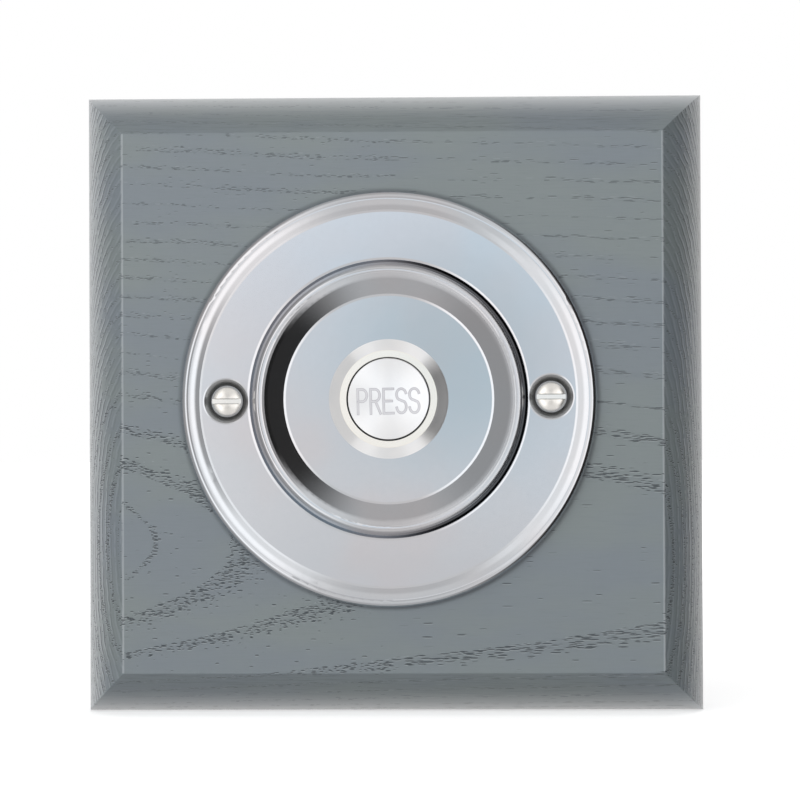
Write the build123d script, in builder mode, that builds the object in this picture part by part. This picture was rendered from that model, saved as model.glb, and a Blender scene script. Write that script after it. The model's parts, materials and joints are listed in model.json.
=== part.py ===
from build123d import *
import os
from math import cos, radians, sin, tan

# Wireless doorbell push: a sprung steel push in a dished metal rose, on a bevelled wooden plinth
# that holds the transmitter behind a back cover.
# Millimetres. The wall is the plane y = 0, the front faces -Y, Z is up, and the origin is the middle
# of the plinth's back. A height is a distance from the wall.

os.makedirs("parts", exist_ok=True)

# Plinth
plinth_width = 116.0
plinth_height = 116.0
plinth_depth = 30.0
bevel_width = 8.0
bevel_depth = 17.0
arris_round = 0.4
back_chamfer = 0.6

# The push and its rose are fitted by hand, a little left, high and turned on the plinth
bell_x = -0.6
bell_z = 0.6
rose_turn = 0.6

# Screws to the wall, hidden under the rose
fixing_spacing = 62.0
fixing_hole_diameter = 4.5
fixing_sink_diameter = 9.0

# Rose, from its rim inwards; heights are above the plinth's face
rose_diameter = 76.8
bead_width = 1.6
bead_height = 2.47
bead_round = 1.5
ovolo_width = 2.0
ovolo_swell = 0.1
annulus_height = 3.2
annulus_width = 9.2
edge_width = 0.4
edge_drop = 0.17
quirk_width = 0.15
quirk_depth = 0.45
crown_height = 4.95
crown_lean = 1.4
crown_round = 1.0
swell_width = 1.6
swell_drop = 0.92
swell_round = 5.0
dish_wall_width = 3.05
dish_floor_height = 1.4
rose_wall = 1.2

# Wells for the rose's screws
rose_screw_spacing = 59.7
well_diameter = 8.1
well_depth = 2.0
well_edge_width = 0.25
well_edge_drop = 0.12
well_seat_diameter = 5.8
boss_diameter = 9.2

# Wood screws of the rose
rose_screw_head_diameter = 5.5
rose_screw_head_height = 1.7
rose_screw_shank_diameter = 2.8
rose_screw_length = 12.7
rose_screw_point = 2.6
rose_screw_slot_width = 0.85
rose_screw_slot_depth = 0.8

# Push
push_diameter = 15.0
push_clearance = 0.18
push_edge_height = 0.25
push_dome = 0.85
push_edge_round = 0.2
push_top_thickness = 1.4
push_travel = 1.6
push_lip_width = 0.92
push_lip_height = 1.0
push_lip_clearance = 0.25
push_skirt_wall = 1.2
stop_clearance = 0.05

# Body of the switch
bezel_height = 1.9
bezel_edge_height = 0.75
bezel_chamfer_width = 2.06
bezel_overhang = 1.5
barrel_wall = 0.9
barrel_length = 17.0
barrel_end_chamfer = 0.4
push_guide_depth = 2.3
switch_hole_clearance = 0.2

# Seals of the switch
bezel_seal_inset = 0.45
bezel_seal_width = 0.5
bezel_seal_depth = 0.4
push_seal_width = 0.58
push_seal_height = 0.7
push_seal_rise = 0.8
push_seal_clearance = 0.08

# Washer and nut on the barrel
lock_washer_width = 2.4
lock_washer_thickness = 1.0
lock_nut_across_flats = 24.0
lock_nut_thickness = 4.0
lock_nut_chamfer = 0.5
thread_clearance = 0.1
nut_bore_diameter = 34.0

# Contacts and their base
base_flange_thickness = 1.0
base_floor_thickness = 3.6
base_tube_wall = 1.1
base_clearance = 0.1
stem_diameter = 4.4
pin_diameter = 2.6
pin_engagement = 1.0
pin_clearance = 0.15
bridge_length = 11.0
bridge_width = 3.2
bridge_thickness = 0.4
contact_diameter = 3.0
contact_thickness = 0.4
terminal_spacing = 8.0
terminal_width = 2.8
terminal_thickness = 0.6
terminal_length = 4.0
terminal_eye_diameter = 1.0
terminal_clearance = 0.05
plunger_head_thickness = 1.2
plunger_clearance = 0.1

# Return spring
spring_wire = 1.0
spring_turns = 6.0
spring_clearance = 0.1
spring_seat_clearance = 0.05

# Back cover and the pocket behind it
cover_width = 96.0
cover_height = 48.0
cover_thickness = 2.5
cover_corner = 6.0
cover_recess = 0.3
cover_clearance = 0.2
gasket_thickness = 0.5
gasket_inset = 0.4
side_ledge = 7.0
end_ledge = 3.0
pocket_depth = 12.2
pocket_corner = 4.0

# Screws of the back cover
cover_screw_head_diameter = 4.8
cover_screw_head_height = 1.2
cover_screw_shank_diameter = 2.4
cover_screw_length = 9.0
cover_screw_point = 1.4
cover_screw_edge = 3.5
cover_screw_sink = 1.4
cross_slot_width = 0.7
cross_slot_depth = 0.7

# Transmitter board
board_side_gap = 3.0
board_end_gap = 2.0
board_thickness = 1.6
board_corner = 1.5
board_boss_height = 1.2
board_boss_diameter = 5.2
board_screw_edge = 3.5
board_screw_head_diameter = 3.8
board_screw_head_height = 1.2
board_screw_shank_diameter = 2.0
board_screw_length = 4.2
board_screw_point = 0.8
screw_clearance = 0.1
hole_end_clearance = 0.6

# Coin cell, holder and clip
cell_diameter = 20.0
cell_thickness = 3.2
cell_step = 0.3
cell_clearance = 0.15
holder_wall = 1.6
holder_floor = 0.8
holder_rim = 2.6
holder_edge = 2.2
holder_gate = 9.0
clip_width = 6.0
clip_sheet = 0.4
clip_foot = 1.6
clip_clearance = 0.3

# Header, plug and leads
header_length = 8.0
header_width = 7.4
header_height = 5.2
header_wall = 0.8
header_edge = 5.0
plug_protrusion = 2.0
plug_clearance = 0.1
lead_diameter = 1.3
lead_pitch = 2.0
lead_rise = 0.6
lead_slack = 0.6

# Parts on the board
part_standoff = 0.1
chip_length = 8.6
chip_width = 3.9
chip_height = 1.5
chip_legs = 7
chip_leg_pitch = 1.27
chip_leg_width = 0.42
chip_leg_reach = 1.1
chip_leg_thickness = 0.25
chip_x = 6.0
can_diameter = 9.0
can_height = 3.2
can_rim = 0.35
can_rim_height = 0.5
can_x = 21.0
parts_row = 8.0
coil_wire = 0.8
coil_diameter = 5.0
coil_pitch = 2.4
coil_turns = 8.0
coil_x = 8.0
coil_row = 6.5

# Heights worked out from the sizes
ledge_height = cover_recess + cover_thickness + gasket_thickness
cover_inside = cover_recess + cover_thickness
board_back = cover_inside + board_boss_height
board_face = board_back + board_thickness
pocket_floor = ledge_height + pocket_depth
dish_floor = plinth_depth + dish_floor_height
bezel_top = dish_floor + bezel_height
push_edge = bezel_top + push_edge_height
push_crown = push_edge + push_dome
push_ceiling = push_edge - push_top_thickness
push_shoulder = bezel_top - push_guide_depth
push_lip_end = push_shoulder - push_lip_height
barrel_end = dish_floor - barrel_length
base_end = barrel_end - base_flange_thickness
base_floor = barrel_end + base_floor_thickness
base_tube_end = push_lip_end - push_travel - stop_clearance
contact_face = base_floor + contact_thickness
bridge_face = contact_face + push_travel + stop_clearance
bridge_back = bridge_face + bridge_thickness
washer_back = dish_floor - rose_wall
nut_back = washer_back - lock_washer_thickness
terminal_end = base_end - terminal_length

# Radii worked out from the sizes
rim_radius = rose_diameter / 2
ovolo_radius = rim_radius - bead_width
annulus_radius = ovolo_radius - ovolo_width
quirk_radius = annulus_radius - annulus_width
crown_foot_radius = quirk_radius - quirk_width
crown_radius = crown_foot_radius - crown_lean
swell_radius = crown_radius - swell_width
dish_foot_radius = swell_radius - dish_wall_width
rose_screw_radius = rose_screw_spacing / 2
push_radius = push_diameter / 2
guide_radius = push_radius + push_clearance
cavity_radius = guide_radius + push_lip_width
barrel_radius = cavity_radius + barrel_wall
bezel_radius = barrel_radius + bezel_overhang
switch_hole_radius = barrel_radius + switch_hole_clearance
push_lip_radius = cavity_radius - push_lip_clearance
push_recess_radius = push_radius - push_skirt_wall
base_radius = cavity_radius - base_clearance
base_tube_radius = base_radius - base_tube_wall
spring_radius = base_tube_radius - spring_clearance - spring_wire / 2

# Widths worked out from the sizes
rebate_width = cover_width + 2 * cover_clearance
rebate_height = cover_height + 2 * cover_clearance
pocket_width = cover_width - 2 * side_ledge
pocket_height = cover_height - 2 * end_ledge
board_width = pocket_width - 2 * board_side_gap
board_height = pocket_height - 2 * board_end_gap
holder_radius = cell_diameter / 2 + cell_clearance + holder_wall
holder_x = holder_edge + holder_radius - board_width / 2
cell_back = board_face + holder_floor
header_x = board_width / 2 - header_edge - header_length
plug_x = header_x - plug_protrusion

corners = {
    "lower_left": (-1, -1),
    "lower_right": (1, -1),
    "upper_left": (-1, 1),
    "upper_right": (1, 1),
}


def front(height, x=0.0, z=0.0):
    """A plane parallel to the wall: its x and y are X and Z, and it faces away from the wall."""
    return Plane(origin=(x, -height, z), x_dir=(1, 0, 0), z_dir=(0, -1, 0))


def rear(height, x=0.0, z=0.0):
    """A plane parallel to the wall that faces the wall."""
    return Plane(origin=(x, -height, z), x_dir=(1, 0, 0), z_dir=(0, 1, 0))


def bell(height):
    """A plane parallel to the wall with its origin on the axis of the push."""
    return front(height, bell_x, bell_z)


# Profiles of turned pieces: the plane's x is a radius from the axis of the push, its y a height
bell_profile = Plane(origin=(bell_x, 0, bell_z), x_dir=(1, 0, 0), z_dir=(0, 0, -1))
bell_axis = Axis((bell_x, 0, bell_z), (0, -1, 0))


def save(piece, label):
    """Label a finished piece and write it."""
    piece.part.label = label
    export_step(piece.part, f"parts/{label}.step")


def screw(seat, head_diameter, head_height, shank_diameter, length, point, slot_width, slot_depth, crossed):
    """A screw whose head stands on the plane seat and whose shank runs back from it."""
    profile = Plane(origin=seat.origin, x_dir=seat.x_dir, z_dir=-seat.y_dir)
    head_edge = head_height / 2
    with BuildPart() as piece:
        with BuildSketch(profile):
            with BuildLine():
                Polyline(
                    (0, head_height),
                    (0, -length),
                    (shank_diameter / 2, point - length),
                    (shank_diameter / 2, 0),
                    (head_diameter / 2, 0),
                    (head_diameter / 2, head_edge),
                )
                TangentArc((0, head_height), (head_diameter / 2, head_edge), tangent=(1, 0))
            make_face()
        revolve(axis=Axis(seat.origin, seat.z_dir))
        with BuildSketch(seat.offset(head_height)):
            Rectangle(2 * head_diameter, slot_width)
            if crossed:
                Rectangle(slot_width, 2 * head_diameter)
        extrude(amount=-slot_depth, mode=Mode.SUBTRACT)
    return piece


# Plinth: two bevelled sections, one across and one up, meet in mitred corners
def bevelled_section(span):
    """The outline of the plinth's section across a span, with its wall side on the x axis."""
    side_height = plinth_depth - bevel_depth
    with BuildLine() as outline:
        Polyline(
            (bevel_width - span / 2, plinth_depth),
            (span / 2 - bevel_width, plinth_depth),
        )
        TangentArc((span / 2, side_height), (span / 2 - bevel_width, plinth_depth), tangent=(0, 1))
        Polyline((span / 2, side_height), (span / 2, 0), (-span / 2, 0), (-span / 2, side_height))
        TangentArc((-span / 2, side_height), (bevel_width - span / 2, plinth_depth), tangent=(0, 1))
    return outline.edges()


across = Plane(origin=(0, 0, 0), x_dir=(1, 0, 0), z_dir=(0, 0, -1))
upright = Plane(origin=(0, 0, 0), x_dir=(0, 0, 1), z_dir=(1, 0, 0))

with BuildPart() as plinth:
    with BuildSketch(across):
        make_face(bevelled_section(plinth_width))
    extrude(amount=plinth_height / 2, both=True)
    with BuildSketch(upright):
        make_face(bevelled_section(plinth_height))
    extrude(amount=plinth_width / 2, both=True, mode=Mode.INTERSECT)
    face_edges = plinth.faces().sort_by(Axis.Y)[0].edges()
    back_edges = plinth.faces().sort_by(Axis.Y)[-1].edges()
    fillet(face_edges, radius=arris_round)
    chamfer(back_edges, length=back_chamfer)
    # Rebate for the back cover, pocket for the board, bore for the nut
    with BuildSketch(front(0)):
        RectangleRounded(rebate_width, rebate_height, cover_corner + cover_clearance)
    extrude(amount=ledge_height, mode=Mode.SUBTRACT)
    with BuildSketch(front(0)):
        RectangleRounded(pocket_width, pocket_height, pocket_corner)
    extrude(amount=pocket_floor, mode=Mode.SUBTRACT)
    with BuildSketch(bell(0)):
        Circle(nut_bore_diameter / 2)
    extrude(amount=plinth_depth, mode=Mode.SUBTRACT)
    # Countersunk holes for the screws to the wall
    with Locations(front(plinth_depth)):
        with GridLocations(0, fixing_spacing, 1, 2):
            CounterSinkHole(
                radius=fixing_hole_diameter / 2,
                counter_sink_radius=fixing_sink_diameter / 2,
                depth=plinth_depth,
                counter_sink_angle=90,
            )
    # Pilot holes for the rose's screws
    with BuildSketch(bell(plinth_depth)):
        with PolarLocations(rose_screw_radius, 2, start_angle=rose_turn):
            Circle(rose_screw_shank_diameter / 2 + screw_clearance)
    seat_height = annulus_height - well_depth
    extrude(amount=seat_height - rose_screw_length - hole_end_clearance, mode=Mode.SUBTRACT)
    # Pilot holes for the cover's screws
    cover_screw_span_x = cover_width - 2 * cover_screw_edge
    cover_screw_span_z = cover_height - 2 * cover_screw_edge
    with BuildSketch(front(ledge_height)):
        with GridLocations(cover_screw_span_x, cover_screw_span_z, 2, 2):
            Circle(cover_screw_shank_diameter / 2 + screw_clearance)
    cover_screw_seat = cover_recess + cover_screw_sink
    cover_screw_hole_end = cover_screw_seat + cover_screw_length + hole_end_clearance
    extrude(amount=cover_screw_hole_end - ledge_height, mode=Mode.SUBTRACT)
save(plinth, "plinth")


# Rose: a casting turned from one outline, hollow behind. From its rim inwards it has a bead, an ovolo,
# a flat ring for the screws, a quirk, a raised crown and a dish round the push. Narrow bevels run
# along both edges of the flat ring and round the floor of the dish
def rose_outline(low, inner_radius):
    """The outline of half the rose's section, down to a foot at low and in to inner_radius."""
    bead = plinth_depth + bead_height
    annulus = plinth_depth + annulus_height
    crown = plinth_depth + crown_height
    with BuildLine() as outline:
        Polyline((rim_radius, low), (rim_radius, bead), (ovolo_radius, bead))
        SagittaArc((ovolo_radius, bead), (annulus_radius, annulus - edge_drop), -ovolo_swell)
        Polyline(
            (annulus_radius, annulus - edge_drop),
            (annulus_radius - edge_width, annulus),
            (quirk_radius + edge_width, annulus),
            (quirk_radius, annulus - edge_drop),
            (crown_foot_radius, annulus - quirk_depth),
            (crown_radius, crown),
            (swell_radius, crown - swell_drop),
            (dish_foot_radius, dish_floor + edge_drop),
            (dish_foot_radius - edge_width, dish_floor),
            (inner_radius, dish_floor),
            (inner_radius, low),
            (rim_radius, low),
        )
    return outline.edges()


rose_rounds = (
    (rim_radius, plinth_depth + bead_height, bead_round),
    (crown_radius, plinth_depth + crown_height, crown_round),
    (swell_radius, plinth_depth + crown_height - swell_drop, swell_round),
)

with BuildPart() as rose:
    with BuildSketch(bell_profile) as rose_section:
        make_face(rose_outline(plinth_depth, switch_hole_radius))
        for radius, height, rounding in rose_rounds:
            corner = rose_section.vertices().sort_by_distance((radius, height, 0))[0]
            fillet(corner, radius=rounding)
    revolve(axis=bell_axis)
    # The hollow keeps one wall all over and opens at the foot
    with BuildSketch(bell_profile):
        make_face(rose_outline(plinth_depth - 2 * rose_wall, 0))
        offset(amount=-rose_wall, kind=Kind.INTERSECTION, mode=Mode.REPLACE)
    revolve(axis=bell_axis, mode=Mode.SUBTRACT)
    # Bosses that carry the wells down to the plinth
    boss_height = annulus_height - rose_wall / 2
    with BuildSketch(bell(plinth_depth)):
        with PolarLocations(rose_screw_radius, 2, start_angle=rose_turn):
            Circle(boss_diameter / 2)
    extrude(amount=boss_height)
    well_radius = well_diameter / 2
    well_wall = well_depth - well_edge_drop
    with Locations(bell(plinth_depth + annulus_height - well_edge_drop / 2)):
        with PolarLocations(rose_screw_radius, 2, start_angle=rose_turn):
            Cone(well_radius, well_radius + well_edge_width, well_edge_drop, mode=Mode.SUBTRACT)
    with Locations(bell(plinth_depth + annulus_height - well_edge_drop - well_wall / 2)):
        with PolarLocations(rose_screw_radius, 2, start_angle=rose_turn):
            Cone(well_seat_diameter / 2, well_radius, well_wall, mode=Mode.SUBTRACT)
    with BuildSketch(bell(plinth_depth)):
        with PolarLocations(rose_screw_radius, 2, start_angle=rose_turn):
            Circle(rose_screw_shank_diameter / 2 + screw_clearance)
    extrude(amount=annulus_height, mode=Mode.SUBTRACT)
save(rose, "rose")

for side, angle in (("right", rose_turn), ("left", rose_turn + 180)):
    screw_x = bell_x + rose_screw_radius * cos(radians(angle))
    screw_z = bell_z + rose_screw_radius * sin(radians(angle))
    rose_screw = screw(
        front(plinth_depth + annulus_height - well_depth, screw_x, screw_z),
        rose_screw_head_diameter,
        rose_screw_head_height,
        rose_screw_shank_diameter,
        rose_screw_length,
        rose_screw_point,
        rose_screw_slot_width,
        rose_screw_slot_depth,
        crossed=False,
    )
    save(rose_screw, f"rose_screw_{side}")

# Body of the switch: chamfered bezel and threaded barrel in one turned piece
bezel_seal_inner = barrel_radius + bezel_seal_inset
push_seal_back = push_shoulder + push_seal_rise
with BuildPart() as switch_body:
    with BuildSketch(bell_profile):
        with BuildLine():
            Polyline(
                (guide_radius, bezel_top),
                (guide_radius, push_shoulder),
                (cavity_radius, push_shoulder),
                (cavity_radius, barrel_end),
                (barrel_radius - barrel_end_chamfer, barrel_end),
                (barrel_radius, barrel_end + barrel_end_chamfer),
                (barrel_radius, dish_floor),
                (bezel_radius, dish_floor),
                (bezel_radius, dish_floor + bezel_edge_height),
                (bezel_radius - bezel_chamfer_width, bezel_top),
                close=True,
            )
        make_face()
    revolve(axis=bell_axis)
    with BuildSketch(bell(dish_floor)):
        Circle(bezel_seal_inner + bezel_seal_width)
        Circle(bezel_seal_inner, mode=Mode.SUBTRACT)
    extrude(amount=bezel_seal_depth, mode=Mode.SUBTRACT)
    with BuildSketch(bell(push_seal_back)):
        Circle(guide_radius + push_seal_width)
    extrude(amount=push_seal_height, mode=Mode.SUBTRACT)
save(switch_body, "switch_body")

with BuildPart() as bezel_seal:
    with BuildSketch(bell(dish_floor)):
        Circle(bezel_seal_inner + bezel_seal_width)
        Circle(bezel_seal_inner, mode=Mode.SUBTRACT)
    extrude(amount=bezel_seal_depth)
save(bezel_seal, "bezel_seal")

with BuildPart() as push_seal:
    with BuildSketch(bell(push_seal_back)):
        Circle(guide_radius + push_seal_width)
        Circle(push_radius + push_seal_clearance, mode=Mode.SUBTRACT)
    extrude(amount=push_seal_height)
save(push_seal, "push_seal")

# Washer and nut that clamp the rose's floor under the bezel
with BuildPart() as lock_washer:
    with BuildSketch(bell(nut_back)):
        Circle(barrel_radius + thread_clearance + lock_washer_width)
        Circle(barrel_radius + thread_clearance, mode=Mode.SUBTRACT)
    extrude(amount=lock_washer_thickness)
save(lock_washer, "lock_washer")

with BuildPart() as lock_nut:
    with BuildSketch(bell(nut_back)):
        RegularPolygon(lock_nut_across_flats / 2, 6, major_radius=False)
    extrude(amount=-lock_nut_thickness)
    corner_radius = lock_nut_across_flats / 2 / cos(radians(30))
    with BuildSketch(bell_profile):
        with BuildLine():
            Polyline(
                (0, nut_back - lock_nut_thickness),
                (corner_radius - lock_nut_chamfer / tan(radians(30)), nut_back - lock_nut_thickness),
                (corner_radius, nut_back - lock_nut_thickness + lock_nut_chamfer),
                (corner_radius, nut_back),
                (0, nut_back),
                close=True,
            )
        make_face()
    revolve(axis=bell_axis, mode=Mode.INTERSECT)
    with BuildSketch(bell(nut_back)):
        Circle(barrel_radius + thread_clearance)
    extrude(amount=-lock_nut_thickness, mode=Mode.SUBTRACT)
save(lock_nut, "lock_nut")

# Push: a domed cap whose lip stops under the bezel
with BuildPart() as push_cap:
    with BuildSketch(bell_profile) as push_section:
        with BuildLine():
            Polyline(
                (0, push_crown),
                (0, push_ceiling),
                (push_recess_radius, push_ceiling),
                (push_recess_radius, push_lip_end),
                (push_lip_radius, push_lip_end),
                (push_lip_radius, push_shoulder),
                (push_radius, push_shoulder),
                (push_radius, push_edge),
            )
            TangentArc((0, push_crown), (push_radius, push_edge), tangent=(1, 0))
        make_face()
        edge_point = push_section.vertices().sort_by_distance((push_radius, push_edge, 0))[0]
        fillet(edge_point, radius=push_edge_round)
    revolve(axis=bell_axis)
save(push_cap, "push_cap")

# Plunger: a head in the cap's recess, a stem, and a pin that runs in the base
pin_end = base_floor - pin_engagement
plunger_head_radius = push_recess_radius - plunger_clearance
plunger_head_back = push_ceiling - plunger_head_thickness
with BuildPart() as plunger:
    with BuildSketch(bell(push_ceiling)):
        Circle(plunger_head_radius)
    extrude(amount=-plunger_head_thickness)
    with BuildSketch(bell(plunger_head_back)):
        Circle(stem_diameter / 2)
    extrude(amount=bridge_back - plunger_head_back)
    with BuildSketch(bell(bridge_back)):
        Circle(pin_diameter / 2)
    extrude(amount=pin_end - bridge_back)
save(plunger, "plunger")

with BuildPart() as moving_contact:
    with BuildSketch(bell(bridge_face)):
        SlotOverall(bridge_length, bridge_width, rotation=90)
        Circle(pin_diameter / 2 + plunger_clearance, mode=Mode.SUBTRACT)
    extrude(amount=bridge_thickness)
save(moving_contact, "moving_contact")

# Base: closes the barrel, guides the pin, and its tube stops the push
pin_hole_depth = pin_engagement + push_travel + hole_end_clearance
with BuildPart() as contact_base:
    with BuildSketch(bell(barrel_end)):
        Circle(barrel_radius - barrel_end_chamfer)
    extrude(amount=-base_flange_thickness)
    with BuildSketch(bell(barrel_end)):
        Circle(base_radius)
    extrude(amount=base_tube_end - barrel_end)
    with BuildSketch(bell(base_floor)):
        Circle(base_tube_radius)
    extrude(amount=base_tube_end - base_floor, mode=Mode.SUBTRACT)
    with BuildSketch(bell(base_floor)):
        Circle(pin_diameter / 2 + pin_clearance)
    extrude(amount=-pin_hole_depth, mode=Mode.SUBTRACT)
    with BuildSketch(bell(base_end)):
        with GridLocations(0, terminal_spacing, 1, 2):
            Rectangle(terminal_thickness + 2 * terminal_clearance, terminal_width + 2 * terminal_clearance)
    extrude(amount=base_floor - base_end, mode=Mode.SUBTRACT)
save(contact_base, "contact_base")

# Terminals: a blade through the base with a contact button inside
for side, direction in (("upper", 1), ("lower", -1)):
    terminal_z = bell_z + direction * terminal_spacing / 2
    eye_height = terminal_end + terminal_eye_diameter
    eye_plane = Plane(origin=(bell_x, -eye_height, terminal_z), x_dir=(0, 0, 1), z_dir=(1, 0, 0))
    with BuildPart() as terminal:
        with BuildSketch(front(terminal_end, bell_x, terminal_z)):
            Rectangle(terminal_thickness, terminal_width)
        extrude(amount=base_floor - terminal_end)
        with BuildSketch(front(base_floor, bell_x, terminal_z)):
            Circle(contact_diameter / 2)
        extrude(amount=contact_thickness)
        with BuildSketch(eye_plane):
            Circle(terminal_eye_diameter / 2)
        extrude(amount=terminal_thickness, both=True, mode=Mode.SUBTRACT)
    save(terminal, f"terminal_{side}")

# Return spring, from the base's floor to the push's lip
spring_low = base_floor + spring_seat_clearance + spring_wire / 2
spring_high = push_lip_end - spring_seat_clearance - spring_wire / 2
with BuildPart() as return_spring:
    with BuildLine() as spring_path:
        Helix(
            pitch=(spring_high - spring_low) / spring_turns,
            height=spring_high - spring_low,
            radius=spring_radius,
            center=(bell_x, -spring_low, bell_z),
            direction=(0, -1, 0),
        )
    with BuildSketch(Plane(origin=spring_path.line @ 0, z_dir=spring_path.line % 0)):
        Circle(spring_wire / 2)
    sweep(is_frenet=True)
save(return_spring, "return_spring")

# Back cover, with bosses for the board and sunk holes for its own screws
board_screw_span_x = board_width - 2 * board_screw_edge
board_screw_span_z = board_height - 2 * board_screw_edge
board_screw_end = board_face - board_screw_length
with BuildPart() as back_cover:
    with BuildSketch(front(cover_recess)):
        RectangleRounded(cover_width, cover_height, cover_corner)
    extrude(amount=cover_thickness)
    with BuildSketch(front(cover_inside)):
        with GridLocations(board_screw_span_x, board_screw_span_z, 2, 2):
            Circle(board_boss_diameter / 2)
    extrude(amount=board_boss_height)
    with BuildSketch(front(board_back)):
        with GridLocations(board_screw_span_x, board_screw_span_z, 2, 2):
            Circle(board_screw_shank_diameter / 2 + screw_clearance)
    extrude(amount=board_screw_end - screw_clearance - board_back, mode=Mode.SUBTRACT)
    with BuildSketch(front(cover_recess)):
        with GridLocations(cover_screw_span_x, cover_screw_span_z, 2, 2):
            Circle(cover_screw_head_diameter / 2 + screw_clearance)
    extrude(amount=cover_screw_sink, mode=Mode.SUBTRACT)
    with BuildSketch(front(cover_screw_seat)):
        with GridLocations(cover_screw_span_x, cover_screw_span_z, 2, 2):
            Circle(cover_screw_shank_diameter / 2 + screw_clearance)
    extrude(amount=cover_inside - cover_screw_seat, mode=Mode.SUBTRACT)
save(back_cover, "back_cover")

with BuildPart() as cover_gasket:
    with BuildSketch(front(cover_inside)):
        RectangleRounded(
            cover_width - 2 * gasket_inset, cover_height - 2 * gasket_inset, cover_corner - gasket_inset
        )
        RectangleRounded(pocket_width, pocket_height, pocket_corner, mode=Mode.SUBTRACT)
        with GridLocations(cover_screw_span_x, cover_screw_span_z, 2, 2):
            Circle(cover_screw_shank_diameter / 2 + screw_clearance, mode=Mode.SUBTRACT)
    extrude(amount=gasket_thickness)
save(cover_gasket, "cover_gasket")

for corner_name, (right, up) in corners.items():
    cover_screw = screw(
        rear(cover_screw_seat, right * cover_screw_span_x / 2, up * cover_screw_span_z / 2),
        cover_screw_head_diameter,
        cover_screw_head_height,
        cover_screw_shank_diameter,
        cover_screw_length,
        cover_screw_point,
        cross_slot_width,
        cross_slot_depth,
        crossed=True,
    )
    save(cover_screw, f"cover_screw_{corner_name}")

# Transmitter board, carried on the cover
with BuildPart() as circuit_board:
    with BuildSketch(front(board_back)):
        RectangleRounded(board_width, board_height, board_corner)
        with GridLocations(board_screw_span_x, board_screw_span_z, 2, 2):
            Circle(board_screw_shank_diameter / 2 + screw_clearance, mode=Mode.SUBTRACT)
    extrude(amount=board_thickness)
save(circuit_board, "circuit_board")

for corner_name, (right, up) in corners.items():
    board_screw = screw(
        front(board_face, right * board_screw_span_x / 2, up * board_screw_span_z / 2),
        board_screw_head_diameter,
        board_screw_head_height,
        board_screw_shank_diameter,
        board_screw_length,
        board_screw_point,
        cross_slot_width,
        cross_slot_depth,
        crossed=True,
    )
    save(board_screw, f"board_screw_{corner_name}")

# Coin cell in its holder, under a sprung clip
with BuildPart() as battery_holder:
    with BuildSketch(front(board_face, holder_x)):
        Circle(holder_radius)
    extrude(amount=holder_floor + holder_rim)
    with BuildSketch(front(cell_back, holder_x)):
        Circle(cell_diameter / 2 + cell_clearance)
    extrude(amount=holder_rim, mode=Mode.SUBTRACT)
    with BuildSketch(front(cell_back, holder_x)):
        with Locations((-holder_radius, 0)):
            Rectangle(2 * holder_wall + cell_clearance, holder_gate)
    extrude(amount=holder_rim, mode=Mode.SUBTRACT)
save(battery_holder, "battery_holder")

with BuildPart() as battery_cell:
    with BuildSketch(front(cell_back, holder_x)):
        Circle(cell_diameter / 2 - holder_wall)
    extrude(amount=cell_step)
    with BuildSketch(front(cell_back + cell_step, holder_x)):
        Circle(cell_diameter / 2)
    extrude(amount=cell_thickness - cell_step)
    fillet(battery_cell.edges().sort_by(Axis.Y)[0], radius=cell_step)
save(battery_cell, "battery_cell")

clip_inner = holder_radius + clip_clearance
clip_height = cell_back + cell_thickness - board_face
with BuildPart() as battery_clip:
    clip_section = Plane(origin=(holder_x, -board_face, 0), x_dir=(0, 0, 1), z_dir=(1, 0, 0))
    with BuildSketch(clip_section):
        with BuildLine():
            Polyline(
                (0, clip_height),
                (clip_inner, clip_height),
                (clip_inner, 0),
                (clip_inner + clip_foot, 0),
                (clip_inner + clip_foot, clip_sheet),
                (clip_inner + clip_sheet, clip_sheet),
                (clip_inner + clip_sheet, clip_height + clip_sheet),
                (0, clip_height + clip_sheet),
                close=True,
            )
        make_face()
        mirror(about=Plane.YZ)
    extrude(amount=clip_width / 2, both=True)
save(battery_clip, "battery_clip")

# Header on the board, open to the left, with the plug in it
plug_width = header_width - 2 * header_wall - 2 * plug_clearance
plug_height = header_height - 2 * header_wall - 2 * plug_clearance
header_middle = board_face + header_height / 2
with BuildPart() as lead_header:
    with BuildSketch(front(board_face, header_x + header_length / 2, bell_z)):
        Rectangle(header_length, header_width)
    extrude(amount=header_height)
    with BuildSketch(front(board_face + header_wall, header_x + (header_length - header_wall) / 2, bell_z)):
        Rectangle(header_length - header_wall, header_width - 2 * header_wall)
    extrude(amount=header_height - 2 * header_wall, mode=Mode.SUBTRACT)
save(lead_header, "lead_header")

plug_section = Plane(origin=(plug_x, -header_middle, bell_z), x_dir=(0, 0, 1), z_dir=(1, 0, 0))
with BuildPart() as lead_plug:
    with BuildSketch(plug_section):
        Rectangle(plug_width, plug_height)
    extrude(amount=plug_protrusion + header_length - header_wall - plug_clearance)
save(lead_plug, "lead_plug")


# Leads: each leaves the face of its terminal squarely and enters the plug squarely
def lead_radii(points):
    """The largest arcs that the runs between the points allow."""
    radii = []
    for before, point, after in zip(points, points[1:], points[2:]):
        arriving = Vector(*point) - Vector(*before)
        leaving = Vector(*after) - Vector(*point)
        half_turn = radians(arriving.get_angle(leaving)) / 2
        radii.append(0.45 * min(arriving.length, leaving.length) / tan(half_turn))
    return radii


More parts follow.
